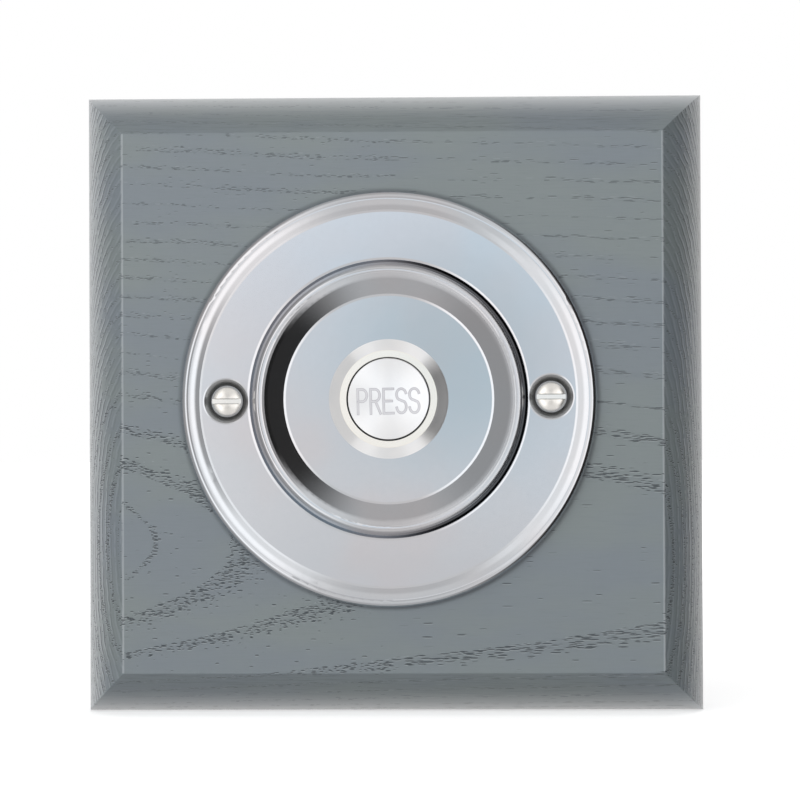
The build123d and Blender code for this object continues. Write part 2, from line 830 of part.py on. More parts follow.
lead_start = bell_x + terminal_thickness / 2
lead_height = terminal_end + 2 * terminal_eye_diameter + lead_rise
for side, direction in (("upper", 1), ("lower", -1)):
    lug_z = bell_z + direction * terminal_spacing / 2
    pin_z = bell_z + direction * lead_pitch / 2
    lead_length = plug_x - lead_start
    lead_middle = (lead_height + header_middle) / 2
    lead_points = [
        (lead_start, -lead_height, lug_z),
        (lead_start + lead_length * 0.2, -lead_height, lug_z),
        (lead_start + lead_length * 0.55, -lead_middle, lug_z - direction * lead_slack),
        (plug_x - lead_length * 0.18, -header_middle, pin_z),
        (plug_x, -header_middle, pin_z),
    ]
    radii = lead_radii(lead_points)
    print(f"lead_{side} radii", [round(radius, 1) for radius in radii])
    with BuildPart() as lead:
        with BuildLine() as lead_route:
            FilletPolyline(*lead_points, radius=radii)
        with BuildSketch(Plane(origin=lead_route.line @ 0, z_dir=lead_route.line % 0)):
            Circle(lead_diameter / 2)
        sweep()
    save(lead, f"lead_{side}")

# Encoder chip, with a row of legs along each side
chip_z = parts_row - board_height / 2
with BuildPart() as encoder_chip:
    with BuildSketch(front(board_face + part_standoff, chip_x, chip_z)):
        Rectangle(chip_length, chip_width)
    extrude(amount=chip_height)
    with BuildSketch(front(board_face, chip_x, chip_z)):
        with GridLocations(chip_leg_pitch, chip_width + chip_leg_reach, chip_legs, 2):
            Rectangle(chip_leg_width, chip_leg_reach)
    extrude(amount=chip_leg_thickness)
    with BuildSketch(front(board_face, chip_x, chip_z)):
        with GridLocations(chip_leg_pitch, chip_width + chip_leg_thickness, chip_legs, 2):
            Rectangle(chip_leg_width, chip_leg_thickness)
    extrude(amount=part_standoff + chip_height / 2)
save(encoder_chip, "encoder_chip")

with BuildPart() as resonator_can:
    with BuildSketch(front(board_face, can_x, chip_z)):
        Circle(can_diameter / 2 + can_rim)
    extrude(amount=can_rim_height)
    with BuildSketch(front(board_face, can_x, chip_z)):
        Circle(can_diameter / 2)
    extrude(amount=can_height)
    fillet(resonator_can.edges().sort_by(Axis.Y)[0], radius=can_rim)
save(resonator_can, "resonator_can")

# Aerial coil, lying on the board
coil_height = board_face + part_standoff + (coil_diameter + coil_wire) / 2
coil_z = board_height / 2 - coil_row
with BuildPart() as antenna_coil:
    with BuildLine() as coil_path:
        Helix(
            pitch=coil_pitch,
            height=coil_pitch * coil_turns,
            radius=coil_diameter / 2,
            center=(coil_x, -coil_height, coil_z),
            direction=(1, 0, 0),
        )
    with BuildSketch(Plane(origin=coil_path.line @ 0, z_dir=coil_path.line % 0)):
        Circle(coil_wire / 2)
    sweep(is_frenet=True)
save(antenna_coil, "antenna_coil")
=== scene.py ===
import json
import math

import bpy
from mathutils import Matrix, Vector


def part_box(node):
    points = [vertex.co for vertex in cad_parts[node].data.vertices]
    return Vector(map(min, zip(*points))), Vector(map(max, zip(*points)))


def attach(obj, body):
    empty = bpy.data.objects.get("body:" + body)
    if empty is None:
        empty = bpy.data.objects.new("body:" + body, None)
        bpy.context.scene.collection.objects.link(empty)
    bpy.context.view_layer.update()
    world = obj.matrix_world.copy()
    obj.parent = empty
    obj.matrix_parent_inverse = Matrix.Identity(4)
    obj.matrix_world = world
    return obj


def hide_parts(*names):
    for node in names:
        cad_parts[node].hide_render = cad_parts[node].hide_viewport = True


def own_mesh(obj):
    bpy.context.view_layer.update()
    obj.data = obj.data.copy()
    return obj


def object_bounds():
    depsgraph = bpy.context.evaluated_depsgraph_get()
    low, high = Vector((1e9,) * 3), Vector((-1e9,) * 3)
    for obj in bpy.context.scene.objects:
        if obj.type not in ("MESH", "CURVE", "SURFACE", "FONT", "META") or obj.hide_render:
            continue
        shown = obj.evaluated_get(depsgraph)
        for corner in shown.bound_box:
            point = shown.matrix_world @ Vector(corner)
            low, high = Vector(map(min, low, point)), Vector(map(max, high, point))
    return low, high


# Wireless doorbell push on a bevelled plinth, dressed for the photograph's view.
# Lengths named here are in millimetres unless they say otherwise; the frame is in metres.

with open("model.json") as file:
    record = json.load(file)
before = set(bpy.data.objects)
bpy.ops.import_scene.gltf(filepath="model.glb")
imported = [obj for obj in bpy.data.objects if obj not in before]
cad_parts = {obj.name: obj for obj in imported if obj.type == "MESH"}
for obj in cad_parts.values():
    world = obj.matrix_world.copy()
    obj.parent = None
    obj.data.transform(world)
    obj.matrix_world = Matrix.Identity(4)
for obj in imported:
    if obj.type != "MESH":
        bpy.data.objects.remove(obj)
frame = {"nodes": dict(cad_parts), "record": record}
cad_low, cad_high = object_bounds()
nodes = frame["nodes"]

MM = 0.001
scene = bpy.context.scene

plinth_low, plinth_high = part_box("plinth")
rose_low, rose_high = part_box("rose")
face_y = plinth_low.y / MM
bell_x = (rose_low.x + rose_high.x) / 2 / MM
bell_z = (rose_low.z + rose_high.z) / 2 / MM
rose_radius = (rose_high.x - rose_low.x) / 2 / MM

# Radii on the bell: the push, the bezel's flat, a screw well, and the rose's crest and the quirk round it.
# gap_width is the width of the gap round the push
push_radius = 7.5
bezel_flat = 8.94
gap_width = 0.22
well_radius = 3.95
crest_inner = 22.9
crest_outer = 24.6
quirk_inner = 24.75
quirk_outer = 25.5

# Screw heads: where the painted shade along the slot lies off its middle, and how far out it goes
slot_edge = 0.46
slot_reach = 2.1

# Growth rings of the plinth's board: the pith runs in front of the face, askew near its own level.
# Between straight_from and straight_by above or below the pith, the rings turn from askew to straight.
# The bends shift them at the right of the middle and at the left of left_bend_x
pith_z = -27.4
pith_distance = 43.6
pith_slope = 0.08
pith_fall = 0.03
straight_from = 15.0
straight_by = 60.0
right_bend = -0.3
left_bend = 0.5
left_bend_x = -20.0
slow_wander = 0.7
quick_wander = 0.35

# Years: a ring's distance from the pith, the spacing of the rings inside it and beyond it, and one wide year
second_ring = 40.75
first_spacing = 1.75
ring_spacing = 2.82
wide_year = 1.35
wide_year_from = 44.5
wide_year_by = 48.0

# Early wood as a share of its year: in narrow and wide years, near the pith's level, and inside second_ring
narrow_band = 0.14
wide_band = 0.42
near_band = 0.45
first_band = 0.12

# Pores, and how far below them their lit lip lies
pore_width = 0.23
pore_length = 1.05
lip_drop = 0.17

# End grain: rows in a year, how flat they bow, and where a dark line and its lit edge lie across a row
end_rows = 2.6
end_bow = 0.65
line_from = 0.14
line_by = 0.32
glint_from = 0.44
glint_by = 0.62
row_soft = 0.09

# The plinth's bevel, and how far the shade round the rose reaches
bevel_width = 8.0
rose_shade = 0.9

# Colours of the paint, 0 to 255 per channel as they look on the screen
green_paint = (128, 137, 138)
blue_paint = (124, 133, 140)
fibre_grey = (112, 120, 125)
streak_grey = (98, 106, 111)
band_grey = (98, 106, 112)
# The next colour is painted sheen along the plinth's outer edges and a painted highlight on the arrises of
# its face
edge_sheen_grey = (196, 201, 206)
line_grey = (66, 72, 80)
glint_grey = (186, 192, 198)
pore_grey = (54, 62, 68)
lip_grey = (178, 185, 188)
shade_grey = (66, 72, 78)

# Colours of the metal, on the same scale
blue_chrome = (203, 207, 212)
warm_chrome = (206, 205, 208)
white_steel = (250, 250, 251)
blue_steel = (246, 247, 249)
haze_grey = (150, 152, 156)
ring_grey = (150, 148, 146)
# The next four colours are painted shade: in the screw wells, in the quirk at the right, in the gap round the
# push, and along the edges of screw slots
well_shade_grey = (132, 133, 133)
quirk_shade_black = (24, 26, 30)
gap_shade_black = (36, 36, 38)
slot_shade_grey = (96, 94, 90)
bezel_white = (255, 248, 239)

# Lettering on the push
word = "PRESS"
letter_width = 1.75
letter_height = 4.45
letter_pitch = 2.37
stroke_width = 0.48
stroke_step = 0.3
edge_lift = 0.010
fill_lift = 0.016
fill_share = 0.55
word_x = 0.02
word_z = -0.42
word_turn = 1.0

# Studio, in metres. Between the floor's two distances from the object, the camera sees it turn white
dome_radius = 1.6
floor_half = 6.0
floor_near = 0.08
floor_far = 0.5
floor_grey = (0.86, 0.86, 0.86, 1.0)
world_light = 0.25
white = (1.0, 1.0, 1.0, 1.0)

# The camera as solved from the photograph: lens in millimetres, place in metres, turn in degrees
camera_lens = 142.96
camera_place = (0.0189, -0.6157, -0.0063)
camera_turn = (90.657, 0.224, 1.712)


class Graph:
    """The node tree of a material or of the world, with short names for the nodes that they share."""

    def __init__(self, tree):
        self.tree = tree
        tree.nodes.clear()

    def put(self, socket, value):
        if isinstance(value, bpy.types.NodeSocket):
            self.tree.links.new(value, socket)
        else:
            socket.default_value = value

    def node(self, kind, inputs=(), **settings):
        made = self.tree.nodes.new(kind)
        for name, value in settings.items():
            setattr(made, name, value)
        for key, value in dict(inputs).items():
            self.put(made.inputs[key], value)
        return made

    def math(self, operation, a, b=0.0, c=0.0, clamp=False):
        made = self.node("ShaderNodeMath", {0: a, 1: b, 2: c}, operation=operation)
        made.use_clamp = clamp
        return made.outputs[0]

    def add(self, a, b):
        return self.math("ADD", a, b)

    def take(self, a, b):
        return self.math("SUBTRACT", a, b)

    def times(self, a, b):
        return self.math("MULTIPLY", a, b)

    def inverse(self, value):
        """1 where value is 0, and 0 where it is 1."""
        return self.math("SUBTRACT", 1.0, value)

    def smooth(self, value, low, high):
        """0 below low, 1 above high, and a smooth rise between them."""
        inputs = {"Value": value, "From Min": low, "From Max": high}
        return self.node("ShaderNodeMapRange", inputs, interpolation_type="SMOOTHSTEP").outputs[0]

    def window(self, value, low, high, soft):
        """1 between low and high, 0 outside, with soft edges."""
        rise = self.smooth(value, low - soft, low)
        fall = self.smooth(value, high, high + soft)
        return self.times(rise, self.inverse(fall))

    def between(self, factor, low, high):
        """low at factor 0 and high at factor 1, where low and high are numbers."""
        return self.math("MULTIPLY_ADD", factor, high - low, low)

    def blend(self, factor, low, high):
        """low at factor 0 and high at factor 1, where either may be worked out by nodes."""
        return self.math("MULTIPLY_ADD", factor, self.take(high, low), low)

    def mix(self, factor, a, b):
        """The colour a at factor 0 and b at factor 1."""
        return self.node("ShaderNodeMix", {0: factor, 6: a, 7: b}, data_type="RGBA").outputs[2]

    def place(self):
        """The point's place on the piece at rest, in millimetres."""
        where = self.node("ShaderNodeTexCoord").outputs["Object"]
        return self.node("ShaderNodeVectorMath", {0: where, 3: 1 / MM}, operation="SCALE").outputs[0]

    def stretch(self, vector, factors):
        return self.node("ShaderNodeVectorMath", {0: vector, 1: factors}, operation="MULTIPLY").outputs[0]

    def split(self, vector):
        return self.node("ShaderNodeSeparateXYZ", {0: vector}).outputs

    def join(self, x, y, z):
        return self.node("ShaderNodeCombineXYZ", {0: x, 1: y, 2: z}).outputs[0]

    def noise(self, vector, scale, detail=2.0, roughness=0.5):
        inputs = {"Vector": vector, "Scale": scale, "Detail": detail, "Roughness": roughness}
        return self.node("ShaderNodeTexNoise", inputs).outputs["Fac"]

    def reach(self, place, middle):
        """Distance from an axis that runs front to back through middle, an x and a z."""
        parts = self.split(place)
        out_x = self.take(parts[0], middle[0])
        out_z = self.take(parts[2], middle[1])
        return self.math("SQRT", self.add(self.times(out_x, out_x), self.times(out_z, out_z)))

    def from_axis(self, place):
        return self.reach(place, (bell_x, bell_z))

    def bump(self, height, depth):
        """A normal from a height, where a height of 1 stands for depth millimetres."""
        inputs = {"Height": height, "Distance": depth * MM, "Strength": 1.0}
        return self.node("ShaderNodeBump", inputs).outputs[0]

    def surface(self, **inputs):
        """The material's shader, with an underscore for each space in the name of an input."""
        shader = self.node("ShaderNodeBsdfPrincipled")
        for name, value in inputs.items():
            self.put(shader.inputs[name.replace("_", " ")], value)
        self.node("ShaderNodeOutputMaterial", {0: shader.outputs[0]})


def new_material(name):
    made = bpy.data.materials.new(name)
    made.use_nodes = True
    return made, Graph(made.node_tree)


def linear(red, green, blue):
    """A colour of 0 to 255 per channel, as it looks on the screen, in linear light."""
    def channel(value):
        value = value / 255
        return value / 12.92 if value <= 0.04045 else ((value + 0.055) / 1.055) ** 2.4

    return (channel(red), channel(green), channel(blue), 1.0)


# Painted wood: growth rings, the open pores of the early wood, rows on the end grain, and the paint over all
def growth_rings(g, place):
    """How far a point is above the pith and behind it, the wander of its ring, and how open the wood is.

    near is 1 close to the level of the pith, and band is 1 in the early wood of a year.
    """
    x, y, z = g.split(place)

    # Distance of the point from the pith, with the small wander of a real tree
    rise = g.take(g.math("MULTIPLY_ADD", x, pith_fall, z), pith_z)
    straight = g.smooth(g.math("ABSOLUTE", rise), straight_from, straight_by)
    bent = g.math("MULTIPLY_ADD", g.math("MAXIMUM", x, 0.0), right_bend, x)
    bent = g.math("MULTIPLY_ADD", g.math("MINIMUM", g.take(x, left_bend_x), 0.0), left_bend, bent)
    askew = g.times(bent, g.between(straight, pith_slope, 0.01))
    lift = g.add(g.take(y, face_y), g.add(askew, pith_distance))
    distance = g.math("SQRT", g.add(g.times(lift, lift), g.times(rise, rise)))
    slow = g.noise(g.stretch(place, (0.5, 1.0, 1.0)), 0.045, 1.0)
    quick = g.noise(g.stretch(place, (0.25, 1.0, 1.0)), 0.35, 2.0)
    wander = g.add(g.between(slow, -slow_wander, slow_wander), g.between(quick, -quick_wander, quick_wander))
    radius = g.add(distance, g.times(wander, g.between(straight, 0.35, 1.0)))
    radius = g.math("MULTIPLY_ADD", g.smooth(radius, wide_year_from, wide_year_by), -wide_year, radius)
    beyond = g.take(radius, second_ring)
    phase = g.math("MINIMUM", g.math("DIVIDE", beyond, first_spacing), g.math("DIVIDE", beyond, ring_spacing))
    ring = g.math("FLOOR", phase)
    share = g.math("FRACT", phase)
    year = g.node("ShaderNodeTexWhiteNoise", {"W": ring}, noise_dimensions="1D").outputs["Value"]
    inner = g.math("LESS_THAN", phase, 0.0)

    # Early wood is a band of open pores that starts sharply and thins out, wider in some years.
    # Near the level of the pith the bands are wide and unbroken
    near = g.inverse(g.smooth(straight, 0.0, 0.35))
    width = g.math("MAXIMUM", g.between(year, narrow_band, wide_band), g.times(near, near_band))
    width = g.blend(inner, width, first_band)
    thinning = g.smooth(share, g.times(width, 0.3), width)
    band = g.times(g.smooth(share, 0.0, 0.03), g.inverse(thinning))
    run = g.smooth(g.noise(g.stretch(place, (0.35, 1.0, 1.0)), 0.22, 2.0), 0.36, 0.54)
    band = g.times(band, g.between(g.math("MAXIMUM", run, near), 0.30, 1.0))
    return rise, lift, wander, near, band


def open_pores(g, place, band):
    """Pores and their lit lower lips. They are fine tubes along the grain, so they are dashes on the face."""
    x, y, z = g.split(place)
    across = g.math("MULTIPLY_ADD", x, pith_slope, y)
    along = g.math("MULTIPLY_ADD", g.math("MAXIMUM", x, 0.0), -0.5, x)

    def dashes(lower):
        """The pores, moved down by a length."""
        tubes = g.join(
            g.math("DIVIDE", along, pore_length),
            g.math("DIVIDE", across, pore_width * 2.5),
            g.math("DIVIDE", g.add(z, lower), pore_width),
        )
        cells = g.node("ShaderNodeTexVoronoi", {"Vector": tubes, "Scale": 1.0}, feature="F1").outputs
        cell = g.split(cells["Color"])
        chance = cell[0]
        reach = g.between(cell[1], 0.34, 0.62)
        dash = g.inverse(g.smooth(cells["Distance"], g.take(reach, 0.18), reach))
        return g.times(dash, g.smooth(g.take(g.between(band, 0.015, 0.95), chance), -0.02, 0.02))

    pore = dashes(0.0)
    return pore, g.times(dashes(lip_drop), g.inverse(pore))


def end_lines(g, place, rise, lift, wander, amount):
    """The rows that run up the end grain as broken lines, and the lit edge of each line."""
    bow = g.times(rise, end_bow)
    end_radius = g.add(g.math("SQRT", g.add(g.times(lift, lift), g.times(bow, bow))), wander)
    rows = g.math("FRACT", g.times(g.math("DIVIDE", end_radius, ring_spacing), end_rows))
    broken = g.smooth(g.noise(g.stretch(place, (0.5, 0.5, 0.6)), 0.8, 3.0, 0.65), 0.37, 0.50)
    main = g.between(g.noise(g.join(end_radius, 0.0, 0.0), 0.9, 1.0), 0.3, 1.5)
    seen = g.times(g.times(broken, main), amount)
    line = g.math("MULTIPLY", g.window(rows, line_from, line_by, row_soft), seen, clamp=True)
    glint = g.math("MULTIPLY", g.window(rows, glint_from, glint_by, row_soft), seen, clamp=True)
    return line, glint


def painted_wood():
    made, g = new_material("painted_wood")
    place = g.place()
    x, y, z = g.split(place)
    facing = g.split(g.node("ShaderNodeTexCoord").outputs["Normal"])
    end_grain = g.smooth(g.math("ABSOLUTE", facing[0]), 0.25, 0.5)
    long_grain = g.smooth(g.math("ABSOLUTE", facing[2]), 0.25, 0.5)
    rise, lift, wander, near, band = growth_rings(g, place)
    pore, lip = open_pores(g, place, band)

    # How far over the bevels a point is: 0 at the edge of the face, 1 at the edge of the plinth
    over_x = g.math("DIVIDE", g.take(g.math("ABSOLUTE", x), plinth_high.x / MM - bevel_width), bevel_width)
    over_z = g.math("DIVIDE", g.take(g.math("ABSOLUTE", z), plinth_high.z / MM - bevel_width), bevel_width)

    # The rows show most on the outer bevels, and are faint on the sides, where the wood faces away
    outer = g.times(g.between(g.smooth(over_x, 0.15, 0.75), 0.18, 1.0), end_grain)
    sawn = g.between(g.smooth(facing[1], -0.43, -0.10), 1.0, 0.38)
    line, glint = end_lines(g, place, rise, lift, wander, g.times(outer, sawn))

    # Fibres give the paint a faint long grain
    fibre = g.noise(g.stretch(place, (0.06, 1.0, 1.0)), 2.6, 3.0, 0.6)
    streak = g.noise(g.stretch(place, (0.03, 1.0, 1.0)), 5.0, 3.0, 0.7)
    tooth = g.noise(place, 5.0, 2.0)

    # The paint itself wanders between a greener and a bluer grey
    zone = g.smooth(g.noise(g.stretch(place, (0.6, 1.0, 1.6)), 0.03, 3.0, 0.6), 0.40, 0.62)
    colour = g.mix(zone, linear(*green_paint), linear(*blue_paint))
    colour = g.mix(g.times(fibre, 0.22), colour, linear(*fibre_grey))
    streaks = g.times(g.smooth(streak, 0.50, 0.66), g.between(long_grain, 0.10, 0.55))
    colour = g.mix(streaks, colour, linear(*streak_grey))
    colour = g.mix(g.times(band, 0.10), colour, linear(*band_grey))

    # Painted sheen pales the outer edges, least at the right, and a painted highlight pales the upright
    # arrises of the face
    sheen_x = g.math("MULTIPLY_ADD", g.smooth(x, 0.0, 1.0), -0.4, over_x)
    edge_sheen = g.times(g.smooth(g.math("MAXIMUM", sheen_x, over_z), 0.25, 1.15), 0.55)
    front = g.inverse(g.smooth(g.take(y, face_y), 0.5, 1.5))
    on_face = g.times(front, g.inverse(g.smooth(over_z, -0.03, 0.0)))
    arris_highlight = g.times(g.window(over_x, -0.022, 0.01, 0.020), g.times(on_face, 0.34))
    colour = g.mix(g.math("MAXIMUM", edge_sheen, arris_highlight), colour, linear(*edge_sheen_grey))

    # Lines, open pores with a lit lower lip, and the shade where the paint meets the rose
    colour = g.mix(g.times(line, 0.92), colour, linear(*line_grey))
    colour = g.mix(g.times(glint, 0.66), colour, linear(*glint_grey))
    depth = g.times(g.between(near, 0.46, 0.86), g.between(long_grain, 1.0, 0.55))
    colour = g.mix(g.times(pore, depth), colour, linear(*pore_grey))
    colour = g.mix(g.times(lip, g.times(depth, 0.42)), colour, linear(*lip_grey))
    spread = g.take(g.from_axis(place), rose_radius)
    shade = g.inverse(g.smooth(spread, 0.0, rose_shade))
    colour = g.mix(g.times(shade, g.times(front, 0.55)), colour, linear(*shade_grey))

    height = g.add(g.times(fibre, 0.10), g.times(tooth, 0.03))
    height = g.take(height, g.times(g.add(g.times(pore, depth), line), 0.9))
    g.surface(
        Base_Color=colour,
        Roughness=g.between(g.add(g.times(fibre, 0.5), g.times(pore, 0.5)), 0.28, 0.46),
        Normal=g.bump(height, 0.09),
        IOR=1.55,
    )
    return made


# Middles of the rose's screws, each an x and a z
screw_middles = []
for screw in ("rose_screw_left", "rose_screw_right"):
    low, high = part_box(screw)
    screw_middles.append(((low.x + high.x) / 2 / MM, (low.z + high.z) / 2 / MM))


# Chrome, polished by hand, with painted shade in the screw wells and in the quirk, and the wells duller too
def chrome_plate():
    made, g = new_material("chrome_plate")
    place = g.place()
    patch = g.noise(place, 0.05, 2.0)
    haze = g.noise(place, 0.9, 4.0, 0.6)
    tint = g.mix(g.smooth(patch, 0.35, 0.65), linear(*blue_chrome), linear(*warm_chrome))
    tint = g.mix(g.times(haze, 0.08), tint, linear(*haze_grey))

    well = 0.0
    for middle in screw_middles:
        beyond = g.smooth(g.reach(place, middle), well_radius, well_radius + 0.2)
        well = g.math("MAXIMUM", well, g.inverse(beyond))
    out = g.from_axis(place)
    right = g.smooth(g.math("DIVIDE", g.take(g.split(place)[0], bell_x), out), -0.1, 0.5)
    quirk = g.times(g.window(out, quirk_inner, quirk_outer, 0.15), g.between(right, 0.1, 0.85))
    # Painted shade darkens the screw wells, and blackens the quirk, most at the right
    tint = g.mix(g.times(well, 0.6), tint, linear(*well_shade_grey))
    tint = g.mix(quirk, tint, linear(*quirk_shade_black))

    # The crest has lost some of its polish at the right, and the wells have lost most of it
    crest = g.times(g.window(out, crest_inner, crest_outer, 0.3), right)
    gloss = g.blend(crest, g.between(haze, 0.056, 0.104), 0.30)
    g.surface(
        Base_Color=tint,
        Metallic=1.0,
        Roughness=g.blend(well, gloss, 0.34),
        Normal=g.bump(g.add(g.noise(place, 0.22, 1.0), g.times(haze, 0.02)), 0.005),
    )
    return made


def plated_metal(name, colour, second, roughness, wave, grain, heads=()):
    """Bright metal whose tint, gloss and surface wander slightly, as polish and handling leave them.

    Around each of the middles in heads, painted shade darkens both edges of a level screw slot.
    """
    made, g = new_material(name)
    place = g.place()
    patch = g.noise(place, 0.05, 2.0)
    haze = g.noise(place, 0.9, 4.0, 0.6)
    tint = g.mix(g.smooth(patch, 0.35, 0.65), linear(*colour), linear(*second))
    tint = g.mix(g.times(haze, 0.08), tint, linear(*haze_grey))
    for middle in heads:
        off = g.math("ABSOLUTE", g.take(g.split(place)[2], middle[1]))
        head = g.inverse(g.smooth(g.reach(place, middle), slot_reach, slot_reach + 0.3))
        # Painted shade along both edges of the slot
        edge = g.times(g.window(off, slot_edge - 0.05, slot_edge + 0.05, 0.07), head)
        tint = g.mix(g.times(edge, 0.55), tint, linear(*slot_shade_grey))
    height = g.add(g.noise(place, 0.22, 1.0), g.times(haze, grain))
    g.surface(
        Base_Color=tint,
        Metallic=1.0,
        Roughness=g.between(haze, roughness * 0.7, roughness * 1.3),
        Normal=g.bump(height, wave),
    )
    return made


def turned_steel():
    """Steel with the fine rings that a lathe leaves: bright on the bezel, satin on the push."""
    made, g = new_material("turned_steel")
    place = g.place()
    x, y, z = g.split(place)
    out = g.from_axis(place)
    ring = g.noise(g.join(out, 0.0, y), 9.0, 3.0, 0.7)
    patch = g.noise(place, 0.25, 2.0)
    tint = g.mix(g.smooth(patch, 0.35, 0.65), linear(*white_steel), linear(*blue_steel))
    flat = g.window(out, push_radius + 0.2, bezel_flat, 0.08)
    tint = g.mix(flat, tint, linear(*bezel_white))
    tint = g.mix(g.times(ring, 0.08), tint, linear(*ring_grey))

    # Painted shade darkens the gap round the push, more so low at the left
    low_left = g.math("DIVIDE", g.add(g.take(bell_x, x), g.take(bell_z, z)), out)
    gap = g.window(out, push_radius - 0.05, push_radius + gap_width, 0.06)
    gap = g.times(gap, g.between(g.smooth(low_left, -1.2, 0.9), 0.3, 0.9))
    tint = g.mix(gap, tint, linear(*gap_shade_black))
    satin = g.inverse(g.smooth(out, push_radius, push_radius + 0.1))
    g.surface(
        Base_Color=tint,
        Metallic=1.0,
        Roughness=g.blend(satin, g.between(ring, 0.11, 0.17), g.between(ring, 0.31, 0.38)),
        Anisotropic=0.55,
        Anisotropic_Rotation=0.25,
        Tangent=g.node("ShaderNodeTangent", direction_type="RADIAL", axis="Y").outputs[0],
        Normal=g.bump(ring, 0.0015),
    )
    return made


def moulded(name, colour, second, roughness, grain, depth):
    """Plastic, rubber or laminate with a fine moulded grain."""
    made, g = new_material(name)
    place = g.place()
    grit = g.noise(place, grain, 3.0, 0.6)
    patch = g.noise(place, 0.12, 3.0)
    tint = g.mix(g.smooth(patch, 0.3, 0.7), linear(*colour), linear(*second))
    g.surface(
        Base_Color=tint,
        Roughness=g.between(grit, roughness * 0.85, roughness * 1.15),
        Normal=g.bump(grit, depth),
    )
    return made


# For each metal: colour, second colour, roughness, depth of the waves, share of the haze in them, screw heads
metals = {
    "nickel_plate": ((242, 239, 234), (230, 228, 224), 0.22, 0.006, 0.2, screw_middles),
    "zinc_steel": ((176, 180, 184), (190, 184, 168), 0.38, 0.01, 0.4),
    "spring_steel": ((158, 160, 164), (140, 142, 148), 0.32, 0.006, 0.4),
    "cell_steel": ((206, 206, 204), (196, 198, 202), 0.26, 0.006, 0.3),
    "contact_brass": ((212, 178, 104), (196, 158, 88), 0.30, 0.006, 0.3),
    "copper_wire": ((198, 120, 82), (184, 104, 66), 0.34, 0.006, 0.3),
}

# For each moulded material: colour, second colour, roughness, scale of the grain, its depth
moulds = {
    "black_rubber": ((30, 30, 31), (38, 38, 40), 0.72, 3.0, 0.02),
    "black_plastic": ((36, 37, 39), (44, 45, 47), 0.46, 2.2, 0.015),
    "white_nylon": ((226, 224, 214), (214, 212, 200), 0.42, 1.6, 0.01),
    "board_laminate": ((38, 92, 58), (30, 78, 50), 0.40, 4.0, 0.01),
    "red_insulation": ((158, 34, 30), (142, 28, 26), 0.44, 1.6, 0.01),
    "black_insulation": ((34, 34, 36), (42, 42, 44), 0.44, 1.6, 0.01),
}

finishes = {"painted_wood": painted_wood(), "chrome_plate": chrome_plate(), "turned_steel": turned_steel()}
for name, values in metals.items():
    finishes[name] = plated_metal(name, *values)
for name, values in moulds.items():
    finishes[name] = moulded(name, *values)

# Each CAD node takes the finish that the record names for it
for row in frame["record"]["subparts"]:
    solid = nodes[row["node"]]
    for slot in solid.material_slots:
        slot.material = finishes[row["material_slot"]]


# The return spring becomes a piece of its own, with its own copy of the mesh, held by the housing. The real
# spring shortens as the push goes in
def sprung_coil():
    coil = bpy.data.objects.new("return_coil", nodes["return_spring"].data.copy())
    scene.collection.objects.link(coil)
    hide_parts("return_spring")
    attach(coil, "housing")
    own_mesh(coil)


sprung_coil()


# Lettering: ribbons that follow each stroke of the word and lie on the push's dome
def arc(centre_x, centre_z, radius_x, radius_z, start, end, steps=14):
    """Points of part of an ellipse, from one angle to another."""
    turns = [math.radians(start + (end - start) * step / steps) for step in range(steps + 1)]
    return [(centre_x + radius_x * math.cos(turn), centre_z + radius_z * math.sin(turn)) for turn in turns]


def letter_strokes():
    """The strokes of each letter in a box one wide and one high."""
    stem = [(0.0, 0.0), (0.0, 1.0)]
    bowl = [(0.0, 1.0)] + arc(0.45, 0.75, 0.5, 0.25, 90, -90) + [(0.0, 0.5)]
    leg = [(0.5, 0.5), (1.0, 0.0)]
    bars = [[(0.0, level), (reach, level)] for level, reach in ((0.0, 1.0), (0.5, 0.85), (1.0, 1.0))]
    bend = arc(0.5, 0.76, 0.5, 0.24, 15, 235) + arc(0.5, 0.26, 0.5, 0.26, 50, -170)
    return {"P": [stem, bowl], "R": [stem, bowl, leg], "E": [stem] + bars, "S": [bend]}


def ribbon(points, width, verts, faces):
    """Adds a flat ribbon of a width along points, squared off half a width beyond both ends."""
    for index, point in enumerate(points):
        before = points[max(index - 1, 0)]
        after = points[min(index + 1, len(points) - 1)]
        way = (after - before).normalized()
        beyond = way * width * (0.5 * (index == len(points) - 1) - 0.5 * (index == 0))
        aside = Vector((-way.y, way.x)) * width / 2
        verts.extend((point + beyond + aside, point + beyond - aside))
        if index:
            last = len(verts)
            faces.append((last - 4, last - 3, last - 1, last - 2))


def fine(points, step):
    """The same line with points no further apart than step."""
    line = [Vector(points[0])]
    for point in points[1:]:
        last = line[-1]
        way = Vector(point) - last
        pieces = max(1, math.ceil(way.length / step))
        line += [last + way * piece / pieces for piece in range(1, pieces + 1)]
    return line


def lettering(name, width, lift, finish):
    """The word as one piece of ribbons, lift millimetres above the push."""
    strokes = letter_strokes()
    verts = []
    faces = []
    for index, letter in enumerate(word):
        left = (index - (len(word) - 1) / 2) * letter_pitch - letter_width / 2
        for stroke in strokes[letter]:
            points = [(left + u * letter_width, (v - 0.5) * letter_height) for u, v in stroke]
            ribbon(fine(points, stroke_step), width, verts, faces)
    turn = math.radians(word_turn)
    cap = nodes["push_cap"]
    placed = []
    for flat in verts:
        x = (bell_x + word_x + flat.x * math.cos(turn) - flat.y * math.sin(turn)) * MM
        z = (bell_z + word_z + flat.x * math.sin(turn) + flat.y * math.cos(turn)) * MM
        where = cap.ray_cast((x, -1.0, z), (0.0, 1.0, 0.0))[1]
        placed.append((x, where.y - lift * MM, z))
    mesh = bpy.data.meshes.new(name)
    mesh.from_pydata(placed, [], faces)
    mesh.materials.append(finish)
    piece = bpy.data.objects.new(name, mesh)
    scene.collection.objects.link(piece)
    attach(piece, "push")


